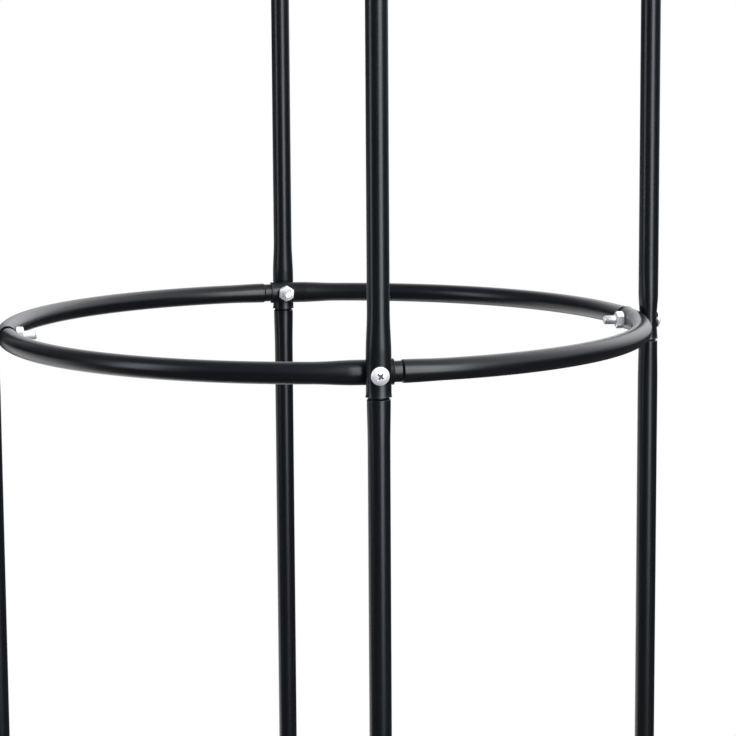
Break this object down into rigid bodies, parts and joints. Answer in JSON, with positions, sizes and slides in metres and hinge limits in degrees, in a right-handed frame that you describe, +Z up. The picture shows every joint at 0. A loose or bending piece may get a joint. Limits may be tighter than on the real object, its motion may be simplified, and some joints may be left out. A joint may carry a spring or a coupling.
{
  "type": "garden obelisk",
  "caption": "Round garden obelisk of bolted steel tube: uprights tied by horizontal rings under a domed top with a ball finial, for climbing plants.",
  "frame": {"origin": "on the ground, under the centre of the rings", "axes": "+Z up; the uprights stand on the X and Y axes, front -Y, right +X, back +Y, left -X"},
  "size_m": [0.5852, 0.5852, 2.2484],
  "materials": {
    "tube_coat": "satin black powder coat",
    "zinc_plate": "bright zinc plate",
    "black_screw": "black passivated",
    "foot_plastic": "moulded, fine matt texture"
  },
  "bodies": {
    "root": {"upright_bottom_front": "tube_coat", "upright_middle_front": "tube_coat", "upright_top_front": "tube_coat", "dome_rib_front": "tube_coat", "foot_plug_front": "foot_plastic", "upright_bottom_right": "tube_coat", "upright_middle_right": "tube_coat", "upright_top_right": "tube_coat", "dome_rib_right": "tube_coat", "foot_plug_right": "foot_plastic", "upright_bottom_back": "tube_coat", "upright_middle_back": "tube_coat", "upright_top_back": "tube_coat", "dome_rib_back": "tube_coat", "foot_plug_back": "foot_plastic", "upright_bottom_left": "tube_coat", "upright_middle_left": "tube_coat", "upright_top_left": "tube_coat", "dome_rib_left": "tube_coat", "foot_plug_left": "foot_plastic", "ring_lower_front_right": "tube_coat", "ring_lower_right_back": "tube_coat", "ring_lower_back_left": "tube_coat", "ring_lower_left_front": "tube_coat", "ring_lower_screws": "zinc_plate", "ring_lower_nuts": "zinc_plate", "ring_middle_front_right": "tube_coat", "ring_middle_right_back": "tube_coat", "ring_middle_back_left": "tube_coat", "ring_middle_left_front": "tube_coat", "ring_middle_screws": "zinc_plate", "ring_middle_nuts": "zinc_plate", "ring_upper_front_right": "tube_coat", "ring_upper_right_back": "tube_coat", "ring_upper_back_left": "tube_coat", "ring_upper_left_front": "tube_coat", "ring_upper_screws": "zinc_plate", "ring_upper_nuts": "zinc_plate", "crown_hub": "tube_coat", "crown_screws": "black_screw", "finial_collar": "tube_coat", "finial_ball": "tube_coat", "finial_stud": "zinc_plate", "finial_washer": "zinc_plate", "finial_nut": "zinc_plate"}
  },
  "joints": []
}
